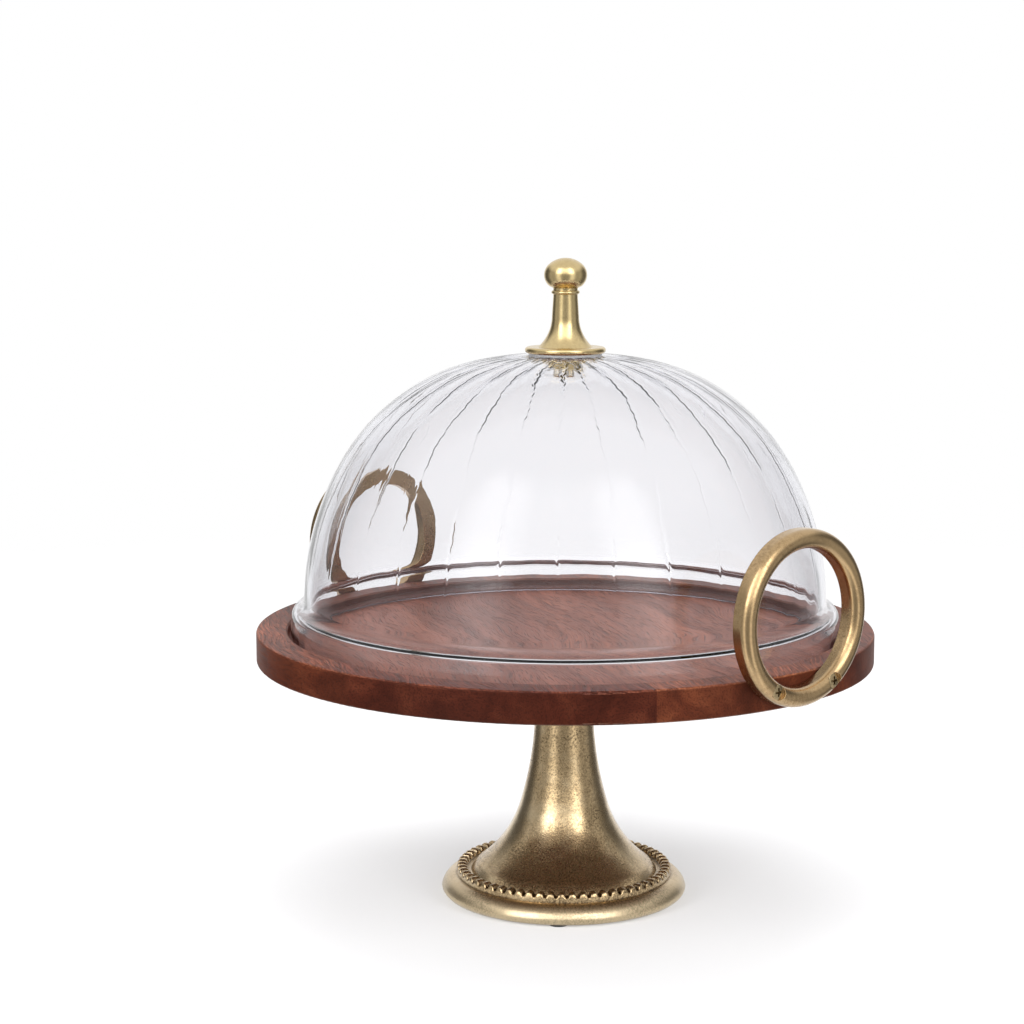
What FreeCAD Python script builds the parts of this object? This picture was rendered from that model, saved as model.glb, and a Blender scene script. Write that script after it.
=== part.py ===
import FreeCAD, Part
import math
import os
import re
import Sketcher
from FreeCAD import Placement, Rotation, Vector

# Cake stand with a glass dome. Millimetres, +Z up, origin under the centre of the foot.
# +X runs towards the right-hand ring handle. The dome is modelled closed, with its lip
# standing on the floor of the tray's recess.

DIMENSIONS = {
    # Foot pads and pedestal
    "pad_radius": 4.5,
    "pad_thickness": 1.0,
    "pad_circle_radius": 54.8,
    "foot_radius": 61.4,
    "foot_widest_height": 3.6,
    "foot_bottom_radius": 59.6,
    "foot_inner_radius": 49.4,
    "foot_crown_radius": 8.2,
    "foot_top_height": 10.2,
    "foot_toe_radius": 3.4,
    "band_radius": 54.0,
    "band_top_height": 12.4,
    "moat_inner_radius": 46.6,
    "moat_outer_radius": 48.6,
    "moat_height": 11.6,
    "bead_count": 62,
    "bead_circle_radius": 51.3,
    "bead_height": 12.9,
    "bead_half_length": 2.5,
    "bead_half_width": 2.1,
    "bead_chamfer": 0.9,
    "trumpet_radius": 59.5,
    "trumpet_end_angle": 54.0,
    "waist_curve_radius": 178.4,
    "waist_curve_angle": 16.45,
    "neck_radius": 14.5,
    "neck_height": 97.1,
    "casting_wall": 4.0,
    "flange_radius": 32.0,
    "flange_thickness": 4.0,
    "neck_fillet": 3.0,
    # Tray
    "tray_radius": 152.5,
    "tray_bottom": 121.2,
    "tray_thickness": 15.2,
    "tray_edge_round": 1.3,
    "recess_radius": 137.2,
    "recess_depth": 6.1,
    "recess_fillet": 3.6,
    "recess_chamfer": 0.8,
    "grain_angle": -25.5,
    "front_joint": 126.7,
    "middle_joint": 4.4,
    "back_joint": -100.0,
    # Ring handles
    "ring_radius": 35.8,
    "ring_width": 8.8,
    "ring_height": 162.4,
    "handle_screw_spread": 18.5,
    "handle_screw_drop": 30.6,
    "handle_seat_depth": 1.4,
    "handle_seat_radius": 3.9,
    # Wood screws
    "screw_radius": 1.75,
    "screw_head_radius": 3.35,
    "screw_head_rise": 0.7,
    "screw_sink": 1.7,
    "screw_point": 3.5,
    "handle_screw_length": 20.6,
    "flange_screw_length": 11.0,
    "flange_screw_circle": 24.0,
    "cross_width": 1.1,
    "cross_length": 4.0,
    "cross_depth": 1.6,
    # Glass dome, heights above its rim
    "glass_wall": 3.0,
    "rim_radius": 134.9,
    "lip_shoulder_radius": 135.1,
    "lip_shoulder_height": 13.0,
    "lip_bulge_radius": 30.0,
    "waist_height": 20.9,
    "side_radius": 138.7,
    "side_angle": 31.3,
    "side_centre_height": 18.9,
    "body_radius": 128.9,
    "dome_shoulder_radius": 101.0,
    "dome_shoulder_angle": 80.3,
    "dome_flat_radius": 21.0,
    "dome_hole_radius": 5.0,
    # Knob and its fixing, from the glass outwards
    "gasket_thickness": 1.0,
    "gasket_radius": 18.0,
    "gasket_spigot_radius": 4.9,
    "gasket_spigot_length": 2.6,
    "knob_base_radius": 19.8,
    "knob_rim_round": 1.5,
    "knob_flare_radius": 20.0,
    "knob_flare_height": 18.0,
    "knob_stem_radius": 6.6,
    "knob_neck_radius": 6.0,
    "knob_neck_height": 27.8,
    "knob_collar_radius": 6.9,
    "knob_collar_height": 29.6,
    "knob_collar_round": 0.9,
    "ball_radius": 10.5,
    "ball_half_height": 8.3,
    "ball_side_radius": 7.0,
    "ball_centre_height": 38.0,
    "knob_thread_depth": 12.0,
    "knob_screw_radius": 2.5,
    "knob_screw_reach": 10.0,
    "pan_head_radius": 4.75,
    "pan_head_height": 3.2,
    "pan_head_round": 1.4,
    "inner_gasket_radius": 12.5,
    "inner_gasket_thickness": 1.5,
    "washer_radius": 11.0,
    "washer_bore": 2.7,
    "washer_thickness": 1.2,
    "lock_washer_radius": 4.5,
    "lock_washer_gap": 0.8,
}

doc = FreeCAD.newDocument("cake_stand")
sheet = doc.addObject("Spreadsheet::Sheet", "dims")
for line, (alias, size) in enumerate(DIMENSIONS.items(), start=1):
    sheet.set(f"A{line}", alias)
    sheet.set(f"B{line}", str(size))
    sheet.setAlias(f"B{line}", alias)
doc.recompute()


# ---- Small tools ---------------------------------------------------------------------------

def bound(text):
    """Turn a size written with the sheet's aliases into an expression on the sheet."""

    def on_sheet(word):
        return "dims." + word[0] if word[0] in DIMENSIONS else word[0]

    return re.sub(r"[a-z_]+", on_sheet, text)


def number(text):
    """The value, in millimetres or degrees, of a size written with the sheet's aliases."""
    found = sheet.evalExpression(bound(text))
    return float(getattr(found, "Value", found))


def polar(centre, radius, angle):
    """The point at an angle and radius from a centre, as a pair of sizes."""
    across, up = centre
    return (f"{across} + ({radius}) * cos({angle})", f"{up} + ({radius}) * sin({angle})")


def origin_object(body, role):
    """One of a body's own origin planes or axes."""
    return next(item for item in body.Origin.OriginFeatures if item.Role == role)


def place(thing, x="0", y="0", z="0", rotation=Rotation()):
    """Put a sub-part somewhere, with its position bound to the sheet."""
    thing.Placement = Placement(Vector(number(x), number(y), number(z)), rotation)
    for axis, size in (("x", x), ("y", y), ("z", z)):
        thing.setExpression(f"Placement.Base.{axis}", bound(size))


def new_body(label):
    body = doc.addObject("PartDesign::Body", label)
    body.Label = label
    return body


def outline(body, name, corners, plane="XZ_Plane", offset=("0", "0", "0")):
    """A closed sketch. Each corner is (across, up) or (across, up, turn, radius): the edge
    that starts there is straight, or an arc that turns left (+1) or right (-1)."""
    sketch = body.newObject("Sketcher::SketchObject", name)
    sketch.AttachmentSupport = (origin_object(body, plane), "")
    sketch.MapMode = "FlatFace"
    sketch.AttachmentOffset = Placement(Vector(*[number(size) for size in offset]), Rotation())
    for axis, size in zip("xyz", offset):
        sketch.setExpression(f"AttachmentOffset.Base.{axis}", bound(size))
    points = [Vector(number(corner[0]), number(corner[1]), 0) for corner in corners]
    starts, ends = [], []
    for index, corner in enumerate(corners):
        start, end = points[index], points[(index + 1) % len(points)]
        if len(corner) == 2:
            sketch.addGeometry(Part.LineSegment(start, end))
            starts.append(1)
            ends.append(2)
            continue
        turn, radius = corner[2], number(corner[3])
        chord = end - start
        middle = (start + end) * 0.5
        left = Vector(-chord.y, chord.x, 0).normalize()
        reach = math.sqrt(max(radius ** 2 - (chord.Length / 2) ** 2, 0.0))
        centre = middle + left * reach * turn
        first, last = (start, end) if turn > 0 else (end, start)
        angles = [math.atan2(point.y - centre.y, point.x - centre.x) for point in (first, last)]
        circle = Part.Circle(centre, Vector(0, 0, 1), radius)
        sketch.addGeometry(Part.ArcOfCircle(circle, angles[0], angles[1]))
        starts.append(1 if turn > 0 else 2)
        ends.append(2 if turn > 0 else 1)
    for index, corner in enumerate(corners):
        after = (index + 1) % len(corners)
        meeting = Sketcher.Constraint("Coincident", index, ends[index], after, starts[after])
        sketch.addConstraint(meeting)
    for index, corner in enumerate(corners):
        for kind, size in (("DistanceX", corner[0]), ("DistanceY", corner[1])):
            reach = Sketcher.Constraint(kind, -1, 1, index, starts[index], number(size))
            item = sketch.addConstraint(reach)
            sketch.setExpression(f"Constraints[{item}]", bound(size))
        if len(corner) == 4:
            item = sketch.addConstraint(Sketcher.Constraint("Radius", index, number(corner[3])))
            sketch.setExpression(f"Constraints[{item}]", bound(corner[3]))
    return sketch


def turned(body, name, corners, kind="PartDesign::Revolution", axis="V_Axis", **where):
    """Revolve (or groove) a closed outline through a full turn."""
    sketch = outline(body, name + "_outline", corners, **where)
    feature = body.newObject(kind, name)
    feature.Profile = sketch
    feature.ReferenceAxis = (sketch, [axis])
    feature.Angle = 360
    doc.recompute()
    return feature


def cut_prism(body, name, corners, depth, **where):
    """Pocket a closed outline, and make sure that it took something away."""
    before = body.Shape.Volume
    sketch = outline(body, name + "_outline", corners, **where)
    pocket = body.newObject("PartDesign::Pocket", name)
    pocket.Profile = sketch
    pocket.Length = number(depth)
    pocket.setExpression("Length", bound(depth))
    doc.recompute()
    if body.Shape.Volume >= before - 0.01:
        pocket.Reversed = True
        doc.recompute()
    assert body.Shape.Volume < before - 0.01, name
    return pocket


def cylinder(name, radius, height, **where):
    thing = doc.addObject("Part::Cylinder", name)
    thing.setExpression("Radius", bound(radius))
    thing.setExpression("Height", bound(height))
    place(thing, **where)
    return thing


def joined(label, kind, **links):
    """A Part boolean or compound, with the label that names the node."""
    thing = doc.addObject(kind, label)
    thing.Label = label
    for key, value in links.items():
        setattr(thing, key, value)
    doc.recompute()
    return thing


# ---- Pedestal: one hollow casting with a beaded foot ----------------------------------------

WAIST_CENTRE = ("neck_radius + waist_curve_radius", "neck_height")
TRUMPET_CENTRE = (
    "neck_radius + waist_curve_radius - (waist_curve_radius - trumpet_radius) * cos(waist_curve_angle)",
    "neck_height - (waist_curve_radius - trumpet_radius) * sin(waist_curve_angle)",
)


def trumpet_point(angle, wall="0"):
    """A point of the lower curve, at an angle below the horizontal, or the wall inside it."""
    return polar(TRUMPET_CENTRE, f"0 - trumpet_radius - ({wall})", angle)


def make_pedestal():
    body = new_body("pedestal")
    flange_bottom = "tray_bottom - flange_thickness"
    ceiling = "tray_bottom - flange_thickness - neck_fillet"
    bore = "neck_radius - casting_wall"
    outer = [
        ("foot_inner_radius", "pad_thickness"),
        ("foot_bottom_radius", "pad_thickness", 1, "foot_toe_radius"),
        ("foot_radius", "foot_widest_height", 1, "foot_crown_radius"),
        ("band_radius", "foot_top_height"),
        ("band_radius", "band_top_height"),
        ("moat_outer_radius", "band_top_height"),
        ("moat_outer_radius", "moat_height"),
        ("moat_inner_radius", "moat_height"),
        trumpet_point("trumpet_end_angle") + (-1, "trumpet_radius"),
        trumpet_point("waist_curve_angle") + (-1, "waist_curve_radius"),
        ("neck_radius", "neck_height"),
        ("neck_radius", ceiling, -1, "neck_fillet"),
        ("neck_radius + neck_fillet", flange_bottom),
        ("flange_radius", flange_bottom),
        ("flange_radius", "tray_bottom"),
        ("0", "tray_bottom"),
        ("0", ceiling),
        (bore, ceiling),
        (bore, "neck_height", 1, "waist_curve_radius + casting_wall"),
        polar(WAIST_CENTRE, "0 - waist_curve_radius - casting_wall", "waist_curve_angle")
        + (1, "trumpet_radius + casting_wall"),
        trumpet_point("trumpet_end_angle", "casting_wall"),
        ("foot_inner_radius", "moat_height - casting_wall"),
    ]
    turned(body, "casting", outer)
    bead = [
        ("0 - bead_half_length", "0"),
        ("bead_half_length", "0"),
        ("bead_half_length", "bead_half_width - bead_chamfer"),
        ("bead_half_length - bead_chamfer", "bead_half_width"),
        ("bead_chamfer - bead_half_length", "bead_half_width"),
        ("0 - bead_half_length", "bead_half_width - bead_chamfer"),
    ]
    on_ring = ("bead_circle_radius", "bead_height", "0")
    beads = turned(body, "bead", bead, axis="H_Axis", offset=on_ring)
    ring = body.newObject("PartDesign::PolarPattern", "bead_ring")
    ring.Originals = [beads]
    ring.Axis = (origin_object(body, "Z_Axis"), [""])
    ring.Angle = 360
    ring.Occurrences = int(number("bead_count"))
    ring.setExpression("Occurrences", bound("bead_count"))
    body.Tip = ring
    doc.recompute()
    hole = turned(
        body,
        "flange_hole",
        screw_hole_outline("flange_thickness"),
        kind="PartDesign::Groove",
        offset=("flange_screw_circle", flange_bottom, "0"),
    )
    holes = body.newObject("PartDesign::PolarPattern", "flange_holes")
    holes.Originals = [hole]
    holes.Axis = (origin_object(body, "Z_Axis"), [""])
    holes.Angle = 360
    holes.Occurrences = FLANGE_SCREWS
    body.Tip = holes
    doc.recompute()
    return body


# ---- Wood screws, pointing up the local Z axis, with the flat of the head at Z = 0 -----------

FLANGE_SCREWS = 4
HEAD_DOME_RADIUS = "(screw_head_radius ^ 2 + screw_head_rise ^ 2) / (2 * screw_head_rise)"


def screw_hole_outline(depth):
    """Half section of a countersunk clearance hole, opening downwards at Z = 0."""
    return [
        ("0", "0"),
        ("screw_head_radius", "0"),
        ("screw_radius", "screw_sink"),
        ("screw_radius", depth),
        ("0", depth),
    ]


def cross_outline():
    """The twelve corners of a cross-head recess, anticlockwise."""
    wide, long = "cross_width / 2", "cross_length / 2"
    return [
        (wide, f"0 - {wide}"), (long, f"0 - {wide}"), (long, wide), (wide, wide),
        (wide, long), (f"0 - {wide}", long), (f"0 - {wide}", wide), (f"0 - {long}", wide),
        (f"0 - {long}", f"0 - {wide}"), (f"0 - {wide}", f"0 - {wide}"),
        (f"0 - {wide}", f"0 - {long}"), (wide, f"0 - {long}"),
    ]


def wood_screw(label, length):
    """Raised countersunk screw with a cross recess. The thread isn't cut."""
    body = new_body(label)
    turned(body, "blank", [
        ("0", "0 - screw_head_rise", 1, HEAD_DOME_RADIUS),
        ("screw_head_radius", "0"),
        ("screw_radius", "screw_sink"),
        ("screw_radius", f"{length} - screw_point"),
        ("0", length),
    ])
    cut_prism(body, "cross", cross_outline(), "cross_depth", plane="XY_Plane",
              offset=("0", "0", "0 - screw_head_rise"))
    return body


def pilot_hole(label, length, **where):
    """The hole that a screw makes in the wood: the same shank and point."""
    body = new_body(label)
    turned(body, "shank", [
        ("0", "0"),
        ("screw_radius", "0"),
        ("screw_radius", f"{length} - screw_point"),
        ("0", length),
    ])
    place(body, **where)
    return body


def flange_spots():
    """Where the pedestal's screws stand: clear of the glued joint in the middle."""
    for quarter in range(FLANGE_SCREWS):
        yield 360 / FLANGE_SCREWS * quarter


def handle_spots():
    """Each handle's pair of screws: side of the tray, and offset across the handle."""
    for side, name in ((1, "right"), (-1, "left")):
        for across, end in ((1, "a"), (-1, "b")):
            yield side, name, across, end


def handle_screw_place(side, across):
    """A handle screw drives inwards along X from its seat on the ring's crown."""
    return {
        "x": f"({side}) * (tray_radius + ring_width - handle_seat_depth)",
        "y": f"({across}) * handle_screw_spread",
        "z": "ring_height - handle_screw_drop",
        "rotation": Rotation(Vector(0, 0, 1), Vector(-side, 0, 0)),
    }


def flange_screw_place(angle):
    return {
        "x": f"flange_screw_circle * cos({angle})",
        "y": f"flange_screw_circle * sin({angle})",
        "z": "tray_bottom - flange_thickness",
    }


# ---- Tray: four glued planks, turned round and hollowed -------------------------------------

def make_tray():
    """The round tray as one blank, then cut into its planks along the grain."""
    blank = new_body("tray_blank")
    top = "tray_bottom + tray_thickness"
    floor = "tray_bottom + tray_thickness - recess_depth"
    turned(blank, "turning", [
        ("0", "tray_bottom"),
        ("tray_radius - tray_edge_round", "tray_bottom", 1, "tray_edge_round"),
        ("tray_radius", "tray_bottom + tray_edge_round"),
        ("tray_radius", f"{top} - tray_edge_round", 1, "tray_edge_round"),
        ("tray_radius - tray_edge_round", top),
        ("recess_radius + recess_chamfer", top),
        ("recess_radius", f"{top} - recess_chamfer"),
        ("recess_radius", f"{floor} + recess_fillet", -1, "recess_fillet"),
        ("recess_radius - recess_fillet", floor),
        ("0", floor),
    ])
    pilots = []
    for side, name, across, end in handle_spots():
        where = handle_screw_place(side, across)
        pilots.append(pilot_hole(f"{name}_pilot_{end}", "handle_screw_length", **where))
    for angle in flange_spots():
        where = flange_screw_place(angle)
        pilots.append(pilot_hole(f"flange_pilot_{angle:.0f}", "flange_screw_length", **where))
    drills = joined("screw_pilots", "Part::MultiFuse", Shapes=pilots)
    drilled = joined("drilled_tray", "Part::Cut", Base=blank, Tool=drills)
    strips = [
        ("tray_plank_front_edge", "front_joint", "tray_radius + 5"),
        ("tray_plank_front", "middle_joint", "front_joint"),
        ("tray_plank_back", "back_joint", "middle_joint"),
        ("tray_plank_back_edge", "0 - tray_radius - 5", "back_joint"),
    ]
    planks = []
    for label, near, far in strips:
        strip = doc.addObject("Part::Box", label + "_strip")
        strip.setExpression("Length", bound("2 * tray_radius + 10"))
        strip.setExpression("Width", bound(f"({far}) - ({near})"))
        strip.setExpression("Height", bound("tray_thickness + 10"))
        # Along the grain the strip is centred; across it, it starts at its far joint.
        grain = Rotation(Vector(0, 0, 1), number("grain_angle"))
        place(
            strip,
            x=f"0 - (tray_radius + 5) * cos(grain_angle) + ({far}) * sin(grain_angle)",
            y=f"0 - (tray_radius + 5) * sin(grain_angle) - ({far}) * cos(grain_angle)",
            z="tray_bottom - 5",
            rotation=grain,
        )
        planks.append(joined(label, "Part::Common", Base=drilled, Tool=strip))
    return planks


# ---- Ring handles ---------------------------------------------------------------------------

def make_handle(label, side):
    """A brass ring with a flat back, held upright against the tray's edge by two screws."""
    body = new_body(label)
    half = "ring_width / 2"
    turned(body, "ring", [
        ("tray_radius", f"0 - ring_radius - {half}"),
        (f"tray_radius + {half}", f"0 - ring_radius - {half}", 1, half),
        ("tray_radius + ring_width", "0 - ring_radius", 1, half),
        (f"tray_radius + {half}", f"0 - ring_radius + {half}"),
        ("tray_radius", f"0 - ring_radius + {half}"),
    ], axis="H_Axis", offset=("0", "ring_height", "0"))
    seat = "tray_radius + ring_width - handle_seat_depth"
    hole = turned(body, "screw_seat", [
        ("tray_radius - 1", "0"),
        ("tray_radius + ring_width + 1", "0"),
        ("tray_radius + ring_width + 1", "handle_seat_radius"),
        (seat, "handle_seat_radius"),
        (seat, "screw_head_radius"),
        (f"{seat} - screw_sink", "screw_radius"),
        ("tray_radius - 1", "screw_radius"),
    ], kind="PartDesign::Groove", axis="H_Axis",
        offset=("0", "ring_height - handle_screw_drop", "0 - handle_screw_spread"))
    pair = body.newObject("PartDesign::Mirrored", "screw_seats")
    pair.Originals = [hole]
    pair.MirrorPlane = (origin_object(body, "XZ_Plane"), [""])
    body.Tip = pair
    doc.recompute()
    if side < 0:
        body.Placement = Placement(Vector(), Rotation(Vector(0, 0, 1), 180))
    return body


# ---- Glass dome, local Z = 0 at its rim -----------------------------------------------------

RIM_HEIGHT = "tray_bottom + tray_thickness - recess_depth"
SIDE_CENTRE = ("body_radius - side_radius", "side_centre_height")
SHOULDER_CENTRE = polar(SIDE_CENTRE, "side_radius - dome_shoulder_radius", "side_angle")
CROWN_RADIUS = f"dome_shoulder_radius + ({SHOULDER_CENTRE[0]}) / cos(dome_shoulder_angle)"
CROWN_CENTRE = polar(SHOULDER_CENTRE, f"dome_shoulder_radius - ({CROWN_RADIUS})", "dome_shoulder_angle")
DOME_TOP = f"{CROWN_CENTRE[1]} + sqrt(({CROWN_RADIUS}) ^ 2 - dome_flat_radius ^ 2)"
DOME_CEILING = f"{CROWN_CENTRE[1]} + sqrt(({CROWN_RADIUS} - glass_wall) ^ 2 - dome_flat_radius ^ 2)"


def make_dome():
    """Blown glass: a rolled lip, an S-curve in to the waist, then three arcs up to a flat."""
    body = new_body("glass_dome")
    half = "glass_wall / 2"
    waist = polar(SIDE_CENTRE, "side_radius", "asin((waist_height - side_centre_height) / side_radius)")
    inward = f"(lip_shoulder_radius - ({waist[0]}))"
    upward = "(waist_height - lip_shoulder_height)"
    bend = f"(({inward} ^ 2 + {upward} ^ 2) / (4 * {inward}))"
    # The two arcs of the S-curve meet halfway. The glass is measured square to them.
    square_across = f"glass_wall * ({bend} - {inward} / 2) / {bend}"
    square_up = f"glass_wall * {upward} / 2 / {bend}"
    meet = (f"lip_shoulder_radius - {inward} / 2", f"lip_shoulder_height + {upward} / 2")
    turned(body, "blown_wall", [
        (f"rim_radius - {half}", "0", 1, half),
        ("rim_radius", half, 1, "lip_bulge_radius"),
        ("lip_shoulder_radius", "lip_shoulder_height", 1, bend),
        meet + (-1, bend),
        waist + (1, "side_radius"),
        polar(SIDE_CENTRE, "side_radius", "side_angle") + (1, "dome_shoulder_radius"),
        polar(SHOULDER_CENTRE, "dome_shoulder_radius", "dome_shoulder_angle") + (1, CROWN_RADIUS),
        ("dome_flat_radius", DOME_TOP),
        ("dome_hole_radius", DOME_TOP),
        ("dome_hole_radius", DOME_CEILING),
        ("dome_flat_radius", DOME_CEILING, -1, f"{CROWN_RADIUS} - glass_wall"),
        polar(SHOULDER_CENTRE, "dome_shoulder_radius - glass_wall", "dome_shoulder_angle")
        + (-1, "dome_shoulder_radius - glass_wall"),
        polar(SIDE_CENTRE, "side_radius - glass_wall", "side_angle") + (-1, "side_radius - glass_wall"),
        (f"{waist[0]} - glass_wall", "waist_height", 1, f"{bend} + glass_wall"),
        (f"{meet[0]} - {square_across}", f"{meet[1]} - {square_up}", -1, f"{bend} - glass_wall"),
        ("lip_shoulder_radius - glass_wall", "lip_shoulder_height", -1, "lip_bulge_radius - glass_wall"),
        ("rim_radius - glass_wall", half, 1, half),
    ])
    place(body, z=RIM_HEIGHT)
    return body


# ---- Knob and the screw that holds it through the glass -------------------------------------

KNOB_SEAT = f"{RIM_HEIGHT} + {DOME_TOP} + gasket_thickness"
BALL_CAP_RADIUS = (
    "(ball_radius ^ 2 + ball_half_height ^ 2 - 2 * ball_radius * ball_side_radius)"
    " / (2 * (ball_half_height - ball_side_radius))"
)
BALL_JOIN_ANGLE = f"atan(({BALL_CAP_RADIUS} - ball_half_height) / (ball_radius - ball_side_radius))"


def make_knob():
    """Turned brass: a rounded base plate, a flared stem, a small collar and a flattened ball."""
    body = new_body("knob")
    top_of_base = "2 * knob_rim_round"
    flare_start = (
        "knob_stem_radius + knob_flare_radius"
        " - sqrt(knob_flare_radius ^ 2 - (knob_flare_height - 2 * knob_rim_round) ^ 2)"
    )
    side = ("ball_radius - ball_side_radius", "ball_centre_height")
    collar_bottom = "knob_collar_height - knob_collar_round"
    collar_top = "knob_collar_height + knob_collar_round"
    collar_core = "knob_collar_radius - knob_collar_round"
    bottom_cap_z = f"(ball_centre_height - ball_half_height + ({BALL_CAP_RADIUS}))"
    ball_start = f"{bottom_cap_z} - sqrt(({BALL_CAP_RADIUS}) ^ 2 - ({collar_core}) ^ 2)"
    turned(body, "turning", [
        ("knob_screw_radius", "0"),
        ("knob_base_radius - knob_rim_round", "0", 1, "knob_rim_round"),
        ("knob_base_radius", "knob_rim_round", 1, "knob_rim_round"),
        ("knob_base_radius - knob_rim_round", top_of_base),
        (flare_start, top_of_base, -1, "knob_flare_radius"),
        ("knob_stem_radius", "knob_flare_height"),
        ("knob_neck_radius", "knob_neck_height"),
        (collar_core, collar_bottom, 1, "knob_collar_round"),
        ("knob_collar_radius", "knob_collar_height", 1, "knob_collar_round"),
        (collar_core, collar_top),
        (collar_core, f"{ball_start} + 0.4", 1, BALL_CAP_RADIUS),
        polar(side, "ball_side_radius", f"-1 * {BALL_JOIN_ANGLE}") + (1, "ball_side_radius"),
        ("ball_radius", "ball_centre_height", 1, "ball_side_radius"),
        polar(side, "ball_side_radius", BALL_JOIN_ANGLE) + (1, BALL_CAP_RADIUS),
        ("0", "ball_centre_height + ball_half_height"),
        ("0", "knob_thread_depth"),
        ("knob_screw_radius", "knob_thread_depth"),
    ])
    place(body, z=KNOB_SEAT)
    return body


def ring_outline(bore, radius, thickness):
    return [(bore, "0"), (radius, "0"), (radius, thickness), (bore, thickness)]


def make_knob_gasket():
    """Soft washer under the knob, with a spigot that lines the hole in the glass."""
    body = new_body("knob_gasket")
    turned(body, "gasket", [
        ("washer_bore", "0 - gasket_spigot_length"),
        ("gasket_spigot_radius", "0 - gasket_spigot_length"),
        ("gasket_spigot_radius", "0"),
        ("gasket_radius", "0"),
        ("gasket_radius", "gasket_thickness"),
        ("washer_bore", "gasket_thickness"),
    ])
    place(body, z=f"{RIM_HEIGHT} + {DOME_TOP}")
    return body


def make_inner_stack():
    """Under the glass, from the top down: soft washer, brass washer, split lock washer."""
    ceiling = f"{RIM_HEIGHT} + {DOME_CEILING}"
    under_gasket = f"{ceiling} - inner_gasket_thickness"
    under_washer = f"{under_gasket} - washer_thickness"
    gasket = new_body("inner_gasket")
    turned(gasket, "ring", ring_outline("washer_bore", "inner_gasket_radius", "inner_gasket_thickness"))
    place(gasket, z=under_gasket)
    washer = new_body("inner_washer")
    turned(washer, "ring", ring_outline("washer_bore", "washer_radius", "washer_thickness"))
    place(washer, z=under_washer)
    lock = new_body("lock_washer")
    turned(lock, "ring", ring_outline("washer_bore", "lock_washer_radius", "washer_thickness"))
    gap = "lock_washer_gap / 2"
    cut_prism(lock, "split", [
        ("0", f"0 - {gap}"), ("lock_washer_radius + 1", f"0 - {gap}"),
        ("lock_washer_radius + 1", gap), ("0", gap),
    ], "2 * washer_thickness", plane="XY_Plane", offset=("0", "0", "washer_thickness"))
    place(lock, z=f"{under_washer} - washer_thickness")
    return [gasket, washer, lock]


def make_knob_screw():
    """Pan-head machine screw, driven up from inside the dome. Local Z = 0 is under its head."""
    body = new_body("knob_screw")
    glass_and_gaskets = f"{DOME_TOP} - ({DOME_CEILING}) + gasket_thickness + inner_gasket_thickness"
    stack = f"({glass_and_gaskets} + 2 * washer_thickness)"
    turned(body, "blank", [
        ("0", "0 - pan_head_height"),
        ("pan_head_radius - pan_head_round", "0 - pan_head_height", 1, "pan_head_round"),
        ("pan_head_radius", "pan_head_round - pan_head_height"),
        ("pan_head_radius", "0"),
        ("knob_screw_radius", "0"),
        ("knob_screw_radius", f"{stack} + knob_screw_reach"),
        ("0", f"{stack} + knob_screw_reach"),
    ])
    cut_prism(body, "cross", cross_outline(), "cross_depth", plane="XY_Plane",
              offset=("0", "0", "0 - pan_head_height"))
    place(body, z=f"{RIM_HEIGHT} + {DOME_CEILING} - inner_gasket_thickness - 2 * washer_thickness")
    return body


# ---- Foot pads ------------------------------------------------------------------------------

def make_foot_pads():
    pads = []
    for index, angle in enumerate((45, 135, 225, 315), start=1):
        pads.append(cylinder(
            f"foot_pad_{index}", "pad_radius", "pad_thickness",
            x=f"pad_circle_radius * cos({angle})", y=f"pad_circle_radius * sin({angle})",
        ))
    return pads


# ---- Assembly -------------------------------------------------------------------------------

def make_screws():
    """Identical screws share one node: a pair for each handle and four for the pedestal."""
    pairs = {"right": [], "left": []}
    for side, name, across, end in handle_spots():
        screw = wood_screw(f"{name}_handle_screw_{end}", "handle_screw_length")
        place(screw, **handle_screw_place(side, across))
        pairs[name].append(screw)
    flange = []
    for angle in flange_spots():
        screw = wood_screw(f"pedestal_screw_{angle:.0f}", "flange_screw_length")
        place(screw, **flange_screw_place(angle))
        flange.append(screw)
    return [
        joined("right_handle_screws", "Part::Compound", Links=pairs["right"]),
        joined("left_handle_screws", "Part::Compound", Links=pairs["left"]),
        joined("pedestal_screws", "Part::Compound", Links=flange),
    ]


nodes = [make_pedestal()]
nodes += make_foot_pads()
nodes += make_tray()
nodes += [make_handle("right_handle", 1), make_handle("left_handle", -1)]
nodes += make_screws()
nodes += [make_dome(), make_knob(), make_knob_gasket()]
nodes += make_inner_stack()
nodes.append(make_knob_screw())
doc.recompute()

for item in doc.Objects:
    assert not {"Invalid", "Error"} & set(item.State), (item.Label, item.State)

os.makedirs("parts", exist_ok=True)
for node in nodes:
    assert not node.Shape.isNull() and node.Shape.isValid(), node.Label
    node.Shape.exportStep(f"parts/{node.Label}.step")
    box = node.Shape.BoundBox
    print(f"{node.Label:24s} solids {len(node.Shape.Solids)}  volume {node.Shape.Volume:10.1f} "
          f"x {box.XMin:8.2f} {box.XMax:8.2f}  z {box.ZMin:7.2f} {box.ZMax:7.2f}")
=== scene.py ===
"""Cake stand with a glass dome: the looks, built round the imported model. Metres, +Z up."""

import math

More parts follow.
